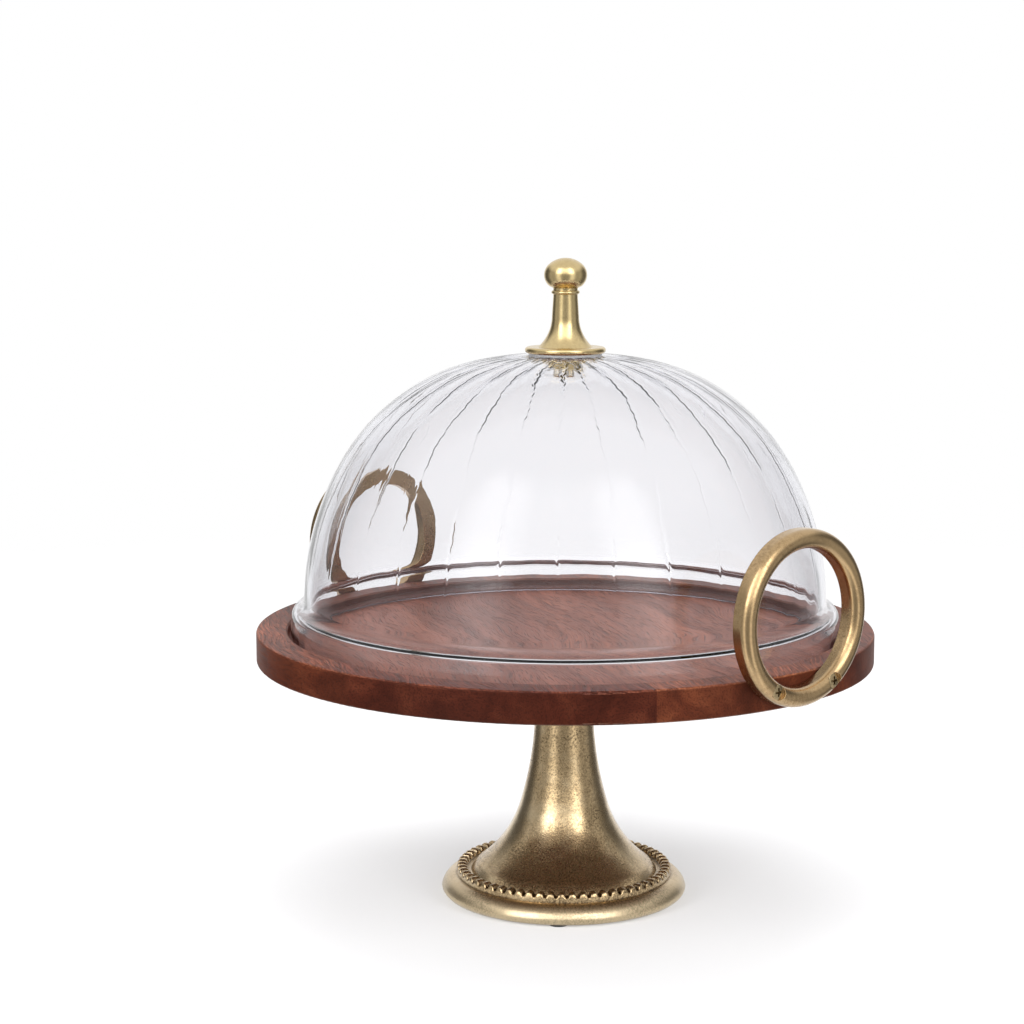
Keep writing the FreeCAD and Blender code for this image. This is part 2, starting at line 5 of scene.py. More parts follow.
import bmesh
import bpy
import numpy as np
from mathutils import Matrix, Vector


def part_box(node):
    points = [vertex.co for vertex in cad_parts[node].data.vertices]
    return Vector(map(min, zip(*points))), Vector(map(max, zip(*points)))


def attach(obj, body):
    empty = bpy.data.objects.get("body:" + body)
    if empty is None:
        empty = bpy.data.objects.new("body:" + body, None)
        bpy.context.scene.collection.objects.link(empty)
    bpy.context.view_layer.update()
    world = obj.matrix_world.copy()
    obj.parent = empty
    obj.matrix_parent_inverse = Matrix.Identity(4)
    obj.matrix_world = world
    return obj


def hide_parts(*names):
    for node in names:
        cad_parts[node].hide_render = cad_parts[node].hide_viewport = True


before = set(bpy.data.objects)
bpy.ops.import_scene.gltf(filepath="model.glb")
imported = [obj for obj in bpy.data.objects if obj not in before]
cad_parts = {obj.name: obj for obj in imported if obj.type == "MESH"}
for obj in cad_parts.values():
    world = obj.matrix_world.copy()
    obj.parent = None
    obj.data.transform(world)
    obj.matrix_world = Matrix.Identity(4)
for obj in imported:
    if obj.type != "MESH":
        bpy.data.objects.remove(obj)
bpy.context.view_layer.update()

# ---- Sizes, in mm unless the name ends in _M ---------------------------------------------------

MM = 0.001
SHARP_ANGLE = math.radians(40.0)
JOIN_DISTANCE_M = 1e-7
RIM_HEIGHT_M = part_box("glass_dome")[0].z
# The ring's flat back lies on the tray's edge
TRAY_RADIUS_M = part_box("right_handle")[0].x
TRAY_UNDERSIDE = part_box("tray_plank_front")[0].z / MM
FOOT_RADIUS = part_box("pedestal")[1].x / MM
CASTING_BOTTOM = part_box("pedestal")[0].z / MM

# Pedestal
FOOT_BOTTOM_RADIUS, FOOT_INNER_RADIUS = 59.6, 49.4
FOOT_WIDEST, FOOT_TOP = 3.6, 10.2
FOOT_TOE_ROUND, FOOT_CROWN_ROUND = 3.4, 8.2
BAND_RADIUS, BAND_TOP, BAND_ROUND = 54.0, 12.4, 0.5
MOAT_OUTER, MOAT_INNER, MOAT_FLOOR, MOAT_EDGE = 48.6, 46.6, 11.6, 0.2
TRUMPET_CURVE, TRUMPET_END_ANGLE = 59.5, 54.0
WAIST_CURVE, WAIST_END_ANGLE = 178.4, 16.45
NECK_RADIUS, NECK_HEIGHT, NECK_FILLET = 14.5, 97.1, 3.0
FLANGE_RADIUS, FLANGE_THICKNESS, FLANGE_CHAMFER = 32.0, 4.0, 0.6
CASTING_WALL, HOLLOW_EDGE_HEIGHT = 4.0, 7.6
BEADS, BEAD_CIRCLE = 62, 51.3
BEAD_HALF_LENGTH, BEAD_HALF_WIDTH, BEAD_RISE = 2.6, 1.9, 2.4
# Mesh rows across the beads, how far from the band's top a row still carries them, and their columns
BEAD_ROWS_FROM, BEAD_ROWS_TO, BEAD_ROWS, BEAD_REACH, BEAD_COLUMNS = 53.2, 49.0, 17, 0.3, 14
FLANGE_SCREWS, FLANGE_SCREW_CIRCLE = 4, 24.0
SCREW_HEAD_RADIUS, SCREW_SHANK_RADIUS, SCREW_SINK = 3.42, 1.8, 1.72
CUT_MARGIN, HOLE_COLUMNS = 1.0, 32

# Glass dome, heights above its rim
RIM_RADIUS, SHOULDER_RADIUS, SHOULDER_HEIGHT, BULGE_CURVE = 134.9, 135.1, 13.0, 30.0
BODY_RADIUS, WAIST_HEIGHT = 128.9, 20.9
SIDE_CURVE, SIDE_CENTRE_HEIGHT, SIDE_ANGLE = 138.7, 18.9, 31.3
UPPER_CURVE, UPPER_ANGLE = 101.0, 80.3
FLAT_RADIUS, HOLE_RADIUS = 21.0, 5.0
WALL = 3.0
RIBS = 30
FIRST_RIB_ANGLE = math.radians(4.0)
# Columns of the mesh across one rib, as parts of the space between ribs, close at the middle
HALF_RIB = (0.012, 0.022, 0.032, 0.045, 0.065, 0.10, 0.16, 0.25, 0.37)
RIB_COLUMNS = tuple(-part for part in reversed(HALF_RIB)) + (0.0,) + HALF_RIB + (0.5,)
# Ribs come in between two heights and go out between two radii, near the knob
RIBS_FROM_HEIGHTS, RIBS_TO_RADII = (30.0, 70.0), (20.0, 27.0)
# A line inside: its depth low down, what it gains between two heights, its half width, and that
# half width where ribs are close, as a part of the space between them
LINE_DEPTH, LINE_GAIN, LINE_HEIGHTS, LINE_WIDTH, LINE_PART = 0.08, 0.19, (60.0, 118.0), 0.62, 0.1
# A ridge outside, in the same form, and the soft flute between the ridges
RIDGE_RISE, RIDGE_GAIN, RIDGE_HEIGHTS, RIDGE_WIDTH, RIDGE_PART = 0.015, 0.05, (50.0, 120.0), 1.0, 0.14
FLUTE_RISE, FLUTE_HEIGHTS = 0.11, (100.0, 138.0)
# Waves that a line strays by, and that its strength varies by: size, length over 2 pi, phase by rib
STRAY_WAVES = ((0.9, 21.0, 1.0), (0.45, 7.7, 2.7), (0.26, 2.4, 4.1), (0.20, 0.9, 1.9))
STRENGTH_WAVES = ((0.35, 13.0, 3.3), (0.25, 5.1, 5.0))
USUAL_STRENGTH, LEAST_STRENGTH, MOST_STRENGTH = 0.75, 0.1, 1.4
# How far to either side of a line the glass strays with it, as parts of the space between ribs
STRAY_PARTS = (0.2, 0.5)
GOLDEN_ANGLE = 2.39996

# Tray: the grain's direction, and how wide the edges of the recess and of the tray are worn
GRAIN_ANGLE = math.radians(-25.5)
RECESS_EDGE_M, RECESS_WEAR_M, EDGE_WEAR_M = 0.1377, 0.0016, 0.0009

# Wood colours: the stain by the figure of the grain, the recess's oiled floor, and what lies on them. The
# light fibres are a painted sheen; the corner and underside colours are painted shade
STAIN_DARK, STAIN_MIDDLE, STAIN_LIGHT = (0.060, 0.013, 0.006), (0.098, 0.022, 0.010), (0.160, 0.042, 0.019)
OILED_DARK, OILED_LIGHT = (0.17, 0.056, 0.034), (0.38, 0.152, 0.100)
FIBRE_DARK, FIBRE_PAINTED_SHEEN, PORE = (0.034, 0.008, 0.004), (0.330, 0.120, 0.078), (0.030, 0.009, 0.005)
BLOTCH, CORNER_PAINTED_SHADE = (0.036, 0.009, 0.005), (0.050, 0.013, 0.007)
WORN_EDGE, UNDERSIDE_PAINTED_SHADE = (0.30, 0.100, 0.040), (0.060, 0.038, 0.024)
# How far from an inside corner the wood's painted shade reaches, and the brass's dark patina gathers
WOOD_SHADE_REACH_M, BRASS_DIRT_REACH_M = 0.008, 0.0024


# ---- Mesh tools --------------------------------------------------------------------------------

def arc(centre, radius, start, end, steps):
    """Points along an arc, and the directions out of its centre. Angles in degrees."""
    angles = np.radians(np.linspace(start, end, steps + 1))
    out = np.stack([np.cos(angles), np.sin(angles)], axis=1)
    return np.array(centre) + radius * out, out


def toward(centre, radius, angle):
    """The point at an angle, in degrees, and a radius from a centre."""
    turn = math.radians(angle)
    return np.array(centre) + radius * np.array([math.cos(turn), math.sin(turn)])


def bulge(start, end, radius, steps):
    """Points along the arc that bulges to the right of the way from start to end."""
    start, end = np.array(start, dtype=float), np.array(end, dtype=float)
    chord = end - start
    length = np.linalg.norm(chord)
    left = np.array([-chord[1], chord[0]]) / length
    centre = (start + end) / 2 + left * math.sqrt(radius ** 2 - length ** 2 / 4)
    first, last = (math.degrees(math.atan2(*(point - centre)[::-1])) for point in (start, end))
    return arc(centre, radius, first, last, steps)[0]


def spin(radius, height, angles):
    """A grid of points: rows down a profile, columns round the Z axis."""
    radius, height, angles = np.broadcast_arrays(radius, height, angles)
    return np.stack([radius * np.cos(angles), radius * np.sin(angles), height], axis=-1)


def ring_faces(grid):
    """Faces of a grid that closes on itself both round the axis and along its profile."""
    rows, columns = grid.shape[:2]
    here = np.arange(rows * columns).reshape(rows, columns)
    below = np.roll(here, -1, axis=0)
    corners = [here, np.roll(here, -1, axis=1), np.roll(below, -1, axis=1), below]
    return np.stack(corners, axis=-1).reshape(-1, 4)


def make_mesh(name, grid, shift=(0, 0, 0)):
    """A closed mesh from a grid in mm, with the points that fall together joined."""
    mesh = bpy.data.meshes.new(name)
    points = grid.reshape(-1, 3) * MM + np.array(shift)
    mesh.from_pydata(points.tolist(), [], ring_faces(grid).tolist())
    work = bmesh.new()
    work.from_mesh(mesh)
    bmesh.ops.remove_doubles(work, verts=work.verts, dist=JOIN_DISTANCE_M)
    bmesh.ops.recalc_face_normals(work, faces=work.faces)
    work.to_mesh(mesh)
    work.free()
    return mesh


def add_object(name, data):
    """A new object, in the scene."""
    thing = bpy.data.objects.new(name, data)
    bpy.context.scene.collection.objects.link(thing)
    return thing


def add_piece(name, mesh, material, body, node):
    """A piece of the object that rides on a body and stands for a CAD node."""
    mesh.shade_smooth()
    mesh.set_sharp_from_angle(angle=SHARP_ANGLE)
    mesh.materials.append(material)
    piece = add_object(name, mesh)
    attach(piece, body)
    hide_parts(node)
    return piece


def cut_by(piece, cutters):
    """Takes the cutters out of a piece for good, and removes them."""
    for cutter in cutters:
        cut = piece.modifiers.new("cut", "BOOLEAN")
        cut.operation, cut.solver, cut.object = "DIFFERENCE", "EXACT", cutter
    solid = piece.evaluated_get(bpy.context.evaluated_depsgraph_get())
    piece.data = bpy.data.meshes.new_from_object(solid)
    piece.modifiers.clear()
    for cutter in cutters:
        bpy.data.objects.remove(cutter)


# ---- Material tools ----------------------------------------------------------------------------

class Graph:
    """A node tree built in code. Inputs take numbers, colours or another node's output."""

    def __init__(self, tree):
        self.tree = tree
        tree.nodes.clear()

    def node(self, kind, inputs=None, **settings):
        node = self.tree.nodes.new("ShaderNode" + kind)
        for key, value in settings.items():
            setattr(node, key, value)
        for key, value in (inputs or {}).items():
            if isinstance(value, bpy.types.NodeSocket):
                self.tree.links.new(value, node.inputs[key])
            else:
                node.inputs[key].default_value = value
        return node

    def place(self):
        """The point's place, in metres, which stays with its piece when the piece moves."""
        return self.node("TexCoord").outputs["Object"]

    def rays(self, kind):
        """1 for rays of a kind, as Shadow, Diffuse, Glossy, Singular, Reflection or Transmission."""
        return self.node("LightPath").outputs[f"Is {kind} Ray"]

    def mirrored(self):
        """1 for rays that a shiny surface sends back. Rays through glass are glossy, but not this."""
        return self.math("MULTIPLY", self.rays("Glossy"), self.rays("Reflection"))

    def stretch(self, vector, scale, shift=(0, 0, 0), turn=0.0):
        """A vector scaled along each axis, turned about Z and shifted."""
        inputs = {"Vector": vector, "Scale": scale, "Location": shift, "Rotation": (0, 0, turn)}
        return self.node("Mapping", inputs).outputs[0]

    def noise(self, vector, scale=1.0, detail=3.0, roughness=0.5, distortion=0.0, output="Fac"):
        inputs = {"Vector": vector, "Scale": scale, "Detail": detail, "Roughness": roughness,
                  "Distortion": distortion}
        return self.node("TexNoise", inputs).outputs[output]

    def ramp(self, factor, stops):
        """stops: (position, grey or colour) pairs."""
        node = self.node("ValToRGB", {"Fac": factor})
        band = node.color_ramp
        while len(band.elements) < len(stops):
            band.elements.new(0.5)
        for element, (position, colour) in zip(band.elements, stops):
            element.position = position
            element.color = (*colour, 1) if isinstance(colour, tuple) else (colour,) * 3 + (1,)
        return node.outputs["Color"]

    def mix(self, factor, one, other, blend="MIX"):
        colours = [(*value, 1) if isinstance(value, tuple) else value for value in (one, other)]
        inputs = {"Fac": factor, "Color1": colours[0], "Color2": colours[1]}
        return self.node("MixRGB", inputs, blend_type=blend).outputs[0]

    def math(self, operation, one, other=0.0, clamp=False):
        return self.node("Math", {0: one, 1: other}, operation=operation, use_clamp=clamp).outputs[0]

    def vector(self, operation, one, other=(0, 0, 0), output="Vector"):
        node = self.node("VectorMath", {0: one, 1: other}, operation=operation)
        return node.outputs[output]

    def height_of(self, vector):
        """The Z part of a vector."""
        return self.node("SeparateXYZ", {0: vector}).outputs["Z"]

    def bump(self, height, distance, normal=None):
        inputs = {"Height": height, "Distance": distance}
        if normal is not None:
            inputs["Normal"] = normal
        return self.node("Bump", inputs).outputs[0]

    def principled(self, colour, **inputs):
        """The usual surface. Its other inputs are given by name, with _ for each space."""
        named = {key.replace("_", " "): value for key, value in inputs.items()}
        named["Base Color"] = (*colour, 1) if isinstance(colour, tuple) else colour
        return self.node("BsdfPrincipled", named).outputs[0]

    def finish(self, surface, **others):
        self.node("OutputMaterial", {"Surface": surface, **others})


def new_material(name):
    """A material and the graph of its nodes."""
    material = bpy.data.materials.new(name)
    material.use_nodes = True
    return material, Graph(material.node_tree)


# ---- Materials ---------------------------------------------------------------------------------

def from_axis(g):
    """Distance from the stand's axis, in metres."""
    return g.vector("LENGTH", g.vector("MULTIPLY", g.place(), (1, 1, 0)), output="Value")


def circle_mask(g, radius, width):
    """1 on a circle round the stand's axis, fading to 0 within a width on either side."""
    away = g.math("DIVIDE", g.math("ABSOLUTE", g.math("SUBTRACT", from_axis(g), radius)), width)
    return g.ramp(away, [(0.0, 1.0), (1.0, 0.0)])


def wood(name, shift, tone):
    """Stained hardwood with swirling interlocked grain, short pores and a satin lacquer."""
    material, g = new_material(name)
    along = g.stretch(g.place(), (1, 1, 1), shift, -GRAIN_ANGLE)
    drift = g.noise(g.stretch(along, (10, 15, 15)), detail=2, output="Color")
    drift = g.vector("MULTIPLY", g.vector("SUBTRACT", drift, (0.5, 0.5, 0.5)), (0.0, 0.036, 0.010))
    swirled = g.vector("ADD", along, drift)
    figure = g.noise(g.stretch(swirled, (6, 75, 75)), detail=4, roughness=0.6, distortion=0.5)
    fibre = g.noise(g.stretch(swirled, (58, 1250, 1250)), detail=2, roughness=0.6)
    pores = g.noise(g.stretch(swirled, (90, 1200, 1200), (0.3, 0.7, 0.1)), detail=1)
    blotch = g.noise(g.stretch(along, (16, 26, 26), (3, 1, 2)), detail=3, roughness=0.6)
    upward = g.height_of(g.node("NewGeometry").outputs["True Normal"])
    flat = g.ramp(g.math("ABSOLUTE", upward), [(0.3, 0.0), (0.8, 1.0)])

    stain = g.ramp(figure, [(0.30, STAIN_DARK), (0.50, STAIN_MIDDLE), (0.72, STAIN_LIGHT)])
    stain = g.mix(g.ramp(fibre, [(0.36, 0.60), (0.52, 0.0)]), stain, FIBRE_DARK)
    # Light fibres on faces that look up: a painted sheen
    wear_and_painted_sheen = g.math("MULTIPLY", g.ramp(fibre, [(0.48, 0.0), (0.66, 0.65)]), flat)
    stain = g.mix(wear_and_painted_sheen, stain, FIBRE_PAINTED_SHEEN)
    stain = g.mix(g.ramp(blotch, [(0.34, 0.50), (0.60, 0.0)]), stain, BLOTCH)
    edges = g.math("MAXIMUM", circle_mask(g, RECESS_EDGE_M, RECESS_WEAR_M),
                   circle_mask(g, TRAY_RADIUS_M, EDGE_WEAR_M))
    worn = g.math("MULTIPLY", edges, g.ramp(blotch, [(0.40, 0.0), (0.60, 0.60)]))
    stain = g.mix(g.math("MULTIPLY", worn, flat), stain, WORN_EDGE)
    stain = g.mix(1.0, stain, tone, "MULTIPLY")
    # Sides are painted darker than faces that look up: painted shade
    stain = g.mix(1.0, stain, g.ramp(flat, [(0.0, 0.62), (1.0, 1.0)]), "MULTIPLY")
    recess = g.math("MULTIPLY", g.math("LESS_THAN", from_axis(g), RECESS_EDGE_M), flat)
    oiled = g.ramp(figure, [(0.34, OILED_DARK), (0.66, OILED_LIGHT)])
    stain = g.mix(g.math("MULTIPLY", recess, 0.55), stain, oiled)
    # Darker in inside corners, such as at the foot of the recess wall: painted shade
    corner = g.node("AmbientOcclusion", {"Distance": WOOD_SHADE_REACH_M}, samples=8).outputs["AO"]
    stain = g.mix(g.ramp(corner, [(0.45, 0.7), (0.85, 0.0)]), stain, CORNER_PAINTED_SHADE)
    open_pores = g.math("MULTIPLY", g.ramp(pores, [(0.55, 0.0), (0.68, 1.0)]), flat)
    stain = g.mix(g.math("MULTIPLY", open_pores, 0.55), stain, PORE)
    # Darker on faces that look down: painted shade under the tray
    underneath = g.ramp(g.math("MULTIPLY", upward, -1.0), [(0.4, 0.0), (0.9, 0.75)])
    stain = g.mix(underneath, stain, UNDERSIDE_PAINTED_SHADE)

    relief = g.math("SUBTRACT", g.math("MULTIPLY", fibre, 0.6), open_pores)
    normal = g.bump(relief, 0.00026)
    shine = g.math("ADD", g.math("MULTIPLY", g.math("ADD", recess, flat), 0.13), 0.06)
    g.finish(g.principled(
        stain, Normal=normal, Coat_Normal=normal, Coat_Weight=0.03, Coat_Roughness=0.28,
        Roughness=g.math("ADD", g.math("MULTIPLY", fibre, 0.20), 0.36), Specular_IOR_Level=shine))
    return material


def brass(name, bright, tarnished, rough, grime, grain, softness, cast, lacquer, wobble, wear_and_painted_sheen=None):
    """Brass with a dark patina in its hollows and grain.

    Where its paler colour is given, the foot's rim takes it with less patina, as a painted highlight,
    and worn patches take it too. Where it is given, the parts that face up are duller too, as dust settles
    there.
    """
    material, g = new_material(name)
    place = g.place()
    speckle = g.noise(place, grain, 4, 0.75)
    cloud = g.noise(place, 30.0, 4, 0.65)
    hollow = g.node("AmbientOcclusion", {"Distance": BRASS_DIRT_REACH_M}, samples=8).outputs["AO"]
    spots = g.math("MULTIPLY", g.ramp(speckle, [(0.44, 0.0), (0.60, 1.0)]),
                   g.ramp(cloud, [(0.38, 0.12), (0.62, 1.0)]))
    crevice = g.ramp(hollow, [(0.35, 1.0), (0.82, 0.0)])
    amount = g.math("MULTIPLY", g.math("ADD", spots, crevice), grime, clamp=True)
    settled = 0.0
    if wear_and_painted_sheen:
        # The foot's rim is painted paler, with less patina: a painted highlight. The pale patches
        # elsewhere are wear
        rim = g.ramp(g.math("DIVIDE", from_axis(g), FOOT_RADIUS * MM), [(0.885, 0.0), (0.95, 1.0)])
        painted_highlight_and_wear = g.math("MAXIMUM", rim, g.ramp(cloud, [(0.36, 0.75), (0.52, 0.0)]))
        bright = g.mix(painted_highlight_and_wear, bright, wear_and_painted_sheen)
        amount = g.math("MULTIPLY", amount, g.ramp(rim, [(0.0, 1.0), (1.0, 0.5)]))
        upward = g.height_of(g.node("NewGeometry").outputs["True Normal"])
        settled = g.math("MULTIPLY", g.ramp(upward, [(0.50, 0.0), (0.80, 1.0)]), 0.09)
        settled = g.math("ADD", settled, g.math("MULTIPLY", rim, 0.14))
    soft = g.node("Bevel", {"Radius": softness}, samples=6).outputs[0]
    swell = g.bump(g.noise(place, 45.0, 2), wobble, soft)
    normal = g.bump(speckle, cast, swell)
    g.finish(g.principled(
        g.mix(amount, bright, tarnished), Metallic=1.0, Normal=normal,
        Roughness=g.math("ADD", g.math("MULTIPLY", amount, 0.22), g.math("ADD", settled, rough)),
        Coat_Weight=lacquer, Coat_Roughness=0.2, Coat_Normal=normal))
    return material


def steel(name):
    """Plated steel with fine drawing marks."""
    material, g = new_material(name)
    marks = g.noise(g.stretch(g.place(), (400, 400, 4000)))
    g.finish(g.principled((0.62, 0.62, 0.63), Metallic=1.0, Normal=g.bump(marks, 0.00001),
                          Roughness=g.math("ADD", g.math("MULTIPLY", marks, 0.15), 0.25)))
    return material


def rubber(name, colour, rough, clear):
    """Moulded rubber with a fine tooth. clear is how far light passes through it."""
    material, g = new_material(name)
    tooth = g.noise(g.place(), 1800.0)
    shade = g.mix(tooth, colour, tuple(0.8 * part for part in colour))
    g.finish(g.principled(shade, Roughness=rough, Normal=g.bump(tooth, 0.00002),
                          Transmission_Weight=clear))
    return material


def clear_glass(name):
    """Blown glass, a touch cool in its thickness. Shadows and bounce light pass straight through."""
    material, g = new_material(name)
    waves = g.noise(g.stretch(g.place(), (1, 1, 0.5)), 26.0, 2)
    glass = g.node("BsdfGlass", {"IOR": 1.43, "Roughness": 0.0, "Color": (1, 1, 1, 1),
                                 "Normal": g.bump(waves, 0.00042)})
    veil = g.node("BsdfTransparent", {"Color": (0.95, 0.955, 0.965, 1)})
    passing = g.math("MAXIMUM", g.rays("Shadow"), g.rays("Diffuse"))
    surface = g.node("MixShader", {0: passing, 1: glass.outputs[0], 2: veil.outputs[0]})
    tint = g.node("VolumeAbsorption", {"Color": (0.62, 0.63, 0.80, 1), "Density": 32.0})
    g.finish(surface.outputs[0], Volume=tint.outputs[0])
    return material


ANTIQUE = brass("antique_brass", (0.63, 0.455, 0.245), (0.090, 0.055, 0.025), rough=0.19, grime=0.90,
                grain=1000.0, softness=0.00035, cast=0.000055, lacquer=0.4, wobble=0.0007,
                wear_and_painted_sheen=(0.74, 0.59, 0.37))
SATIN = brass("satin_brass", (0.53, 0.368, 0.190), (0.185, 0.095, 0.033), rough=0.22, grime=0.42,
              grain=700.0, softness=0.00035, cast=0.00002, lacquer=0.25, wobble=0.0006)
POLISHED = brass("polished_brass", (0.68, 0.53, 0.27), (0.30, 0.19, 0.08), rough=0.23, grime=0.20,
                 grain=500.0, softness=0.00035, cast=0.00001, lacquer=0.1, wobble=0.0003)
SCREW_BRASS = brass("screw_brass", (0.56, 0.43, 0.24), (0.08, 0.05, 0.02), rough=0.26, grime=0.5,
                    grain=1500.0, softness=0.0002, cast=0.00001, lacquer=0.1, wobble=0.0003)
STEEL = steel("screw_steel")
SILICONE = rubber("gasket_rubber", (0.80, 0.80, 0.78), rough=0.35, clear=0.6)
PAD = rubber("pad_rubber", (0.03, 0.03, 0.03), rough=0.6, clear=0.0)
GLASS = clear_glass("dome_glass")

# Each plank is cut from its own part of the tree (a shift, in metres) and takes the stain its own way
PLANKS = {
    "tray_plank_front_edge": wood("wood_front_edge", (0.31, 0.02, 0.00), (1.25, 1.25, 1.15)),
    "tray_plank_front": wood("wood_front", (0.00, 0.11, 0.02), (0.85, 0.78, 0.78)),
    "tray_plank_back": wood("wood_back", (0.52, 0.27, 0.05), (1.30, 1.35, 1.20)),
    "tray_plank_back_edge": wood("wood_back_edge", (0.85, 0.41, 0.01), (1.0, 1.0, 1.0)),
}
CAD_MATERIALS = {
    **PLANKS,
    "pedestal": ANTIQUE,
    "right_handle": SATIN, "left_handle": SATIN,
    "right_handle_screws": SCREW_BRASS, "left_handle_screws": SCREW_BRASS, "inner_washer": SCREW_BRASS,
    "pedestal_screws": STEEL, "lock_washer": STEEL, "knob_screw": STEEL,
    "knob": POLISHED, "knob_gasket": SILICONE, "inner_gasket": SILICONE,
    "foot_pad_1": PAD, "foot_pad_2": PAD, "foot_pad_3": PAD, "foot_pad_4": PAD,
}
for node_name, material in CAD_MATERIALS.items():
    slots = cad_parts[node_name].data.materials
    slots.clear()
    slots.append(material)


# ---- Pedestal: one hollow casting with a ring of beads --------------------------------------------

def foot_outline():
    """The foot, in mm, from the floor edge out and up to the groove inside the beads."""
    toe = (FOOT_RADIUS, FOOT_WIDEST)
    return [
        [(FOOT_INNER_RADIUS, CASTING_BOTTOM)],
        bulge((FOOT_BOTTOM_RADIUS, CASTING_BOTTOM), toe, FOOT_TOE_ROUND, 5),
        bulge(toe, (BAND_RADIUS, FOOT_TOP), FOOT_CROWN_ROUND, 10),
        bulge((BAND_RADIUS, BAND_TOP - BAND_ROUND), (BAND_RADIUS - BAND_ROUND, BAND_TOP), BAND_ROUND, 2),
        [(radius, BAND_TOP) for radius in np.linspace(BEAD_ROWS_FROM, BEAD_ROWS_TO, BEAD_ROWS)],
        [(MOAT_OUTER, BAND_TOP - MOAT_EDGE), (MOAT_OUTER, MOAT_FLOOR), (MOAT_INNER, MOAT_FLOOR)],
    ]


def stem_outline():
    """The trumpet, neck and flange, in mm, and back down inside at the wall's thickness."""
    waist = np.array([NECK_RADIUS + WAIST_CURVE, NECK_HEIGHT])
    trumpet = toward(waist, TRUMPET_CURVE - WAIST_CURVE, WAIST_END_ANGLE)
    flange_bottom = TRAY_UNDERSIDE - FLANGE_THICKNESS
    ceiling = flange_bottom - NECK_FILLET
    skin, inside = -TRUMPET_CURVE, -TRUMPET_CURVE - CASTING_WALL
    upper, upper_inside = -WAIST_CURVE, -WAIST_CURVE - CASTING_WALL
    return [
        arc(trumpet, skin, TRUMPET_END_ANGLE, WAIST_END_ANGLE, 26)[0],
        arc(waist, upper, WAIST_END_ANGLE, 0, 16)[0][1:],
        arc((NECK_RADIUS + NECK_FILLET, ceiling), -NECK_FILLET, 0, -90, 6)[0],
        [(FLANGE_RADIUS - FLANGE_CHAMFER, flange_bottom), (FLANGE_RADIUS, flange_bottom + FLANGE_CHAMFER)],
        [(FLANGE_RADIUS, TRAY_UNDERSIDE), (0.0, TRAY_UNDERSIDE)],
        [(0.0, ceiling), (NECK_RADIUS - CASTING_WALL, ceiling)],
        arc(waist, upper_inside, 0, WAIST_END_ANGLE, 12)[0],
        arc(trumpet, inside, WAIST_END_ANGLE, TRUMPET_END_ANGLE, 20)[0][1:],
        [(FOOT_INNER_RADIUS, HOLLOW_EDGE_HEIGHT)],
    ]


def bead_rise(radius, offset):
    """Height of a bar-shaped bead over the band, for an offset in mm along the circle."""
    side = np.clip(1 - np.abs(offset / BEAD_HALF_WIDTH) ** 2.5, 0, 1)
    end = np.clip(1 - np.abs((radius - BEAD_CIRCLE) / BEAD_HALF_LENGTH) ** 4, 0, 1)
    return BEAD_RISE * np.sqrt(side * end)


def flange_hole(number):
    """A countersunk hole up through the flange, as a shape to cut with."""
    top = FLANGE_THICKNESS + CUT_MARGIN
    outline = np.array([(0.0, -CUT_MARGIN), (SCREW_HEAD_RADIUS, -CUT_MARGIN), (SCREW_HEAD_RADIUS, 0.0),
                        (SCREW_SHANK_RADIUS, SCREW_SINK), (SCREW_SHANK_RADIUS, top), (0.0, top)])
    grid = spin(outline[:, :1], outline[:, 1:], np.arange(HOLE_COLUMNS) * 2 * math.pi / HOLE_COLUMNS)
    turn = number * 2 * math.pi / FLANGE_SCREWS
    grid += (FLANGE_SCREW_CIRCLE * math.cos(turn), FLANGE_SCREW_CIRCLE * math.sin(turn),
             TRAY_UNDERSIDE - FLANGE_THICKNESS)
    return add_object("hole", make_mesh("hole", grid))


def make_pedestal():
    """The casting: its outline spun round the axis, with the beads raised and the holes cut."""
    outline = np.vstack([np.array(part, dtype=float) for part in foot_outline() + stem_outline()])
    radius, height = outline[:, :1], outline[:, 1:]
    columns = np.arange(BEADS * BEAD_COLUMNS)
    angles = columns * 2 * math.pi / len(columns)
    offset = (columns % BEAD_COLUMNS / BEAD_COLUMNS - 0.5) * 2 * math.pi * BEAD_CIRCLE / BEADS
    on_band = np.abs(height - BAND_TOP) < BEAD_REACH
    height = height + np.where(on_band, bead_rise(radius, offset), 0)
    mesh = make_mesh("pedestal_casting", spin(radius, height, angles))
    piece = add_piece("pedestal_casting", mesh, ANTIQUE, "stand", "pedestal")
    cut_by(piece, [flange_hole(number) for number in range(FLANGE_SCREWS)])


# ---- Glass dome ------------------------------------------------------------------------------------

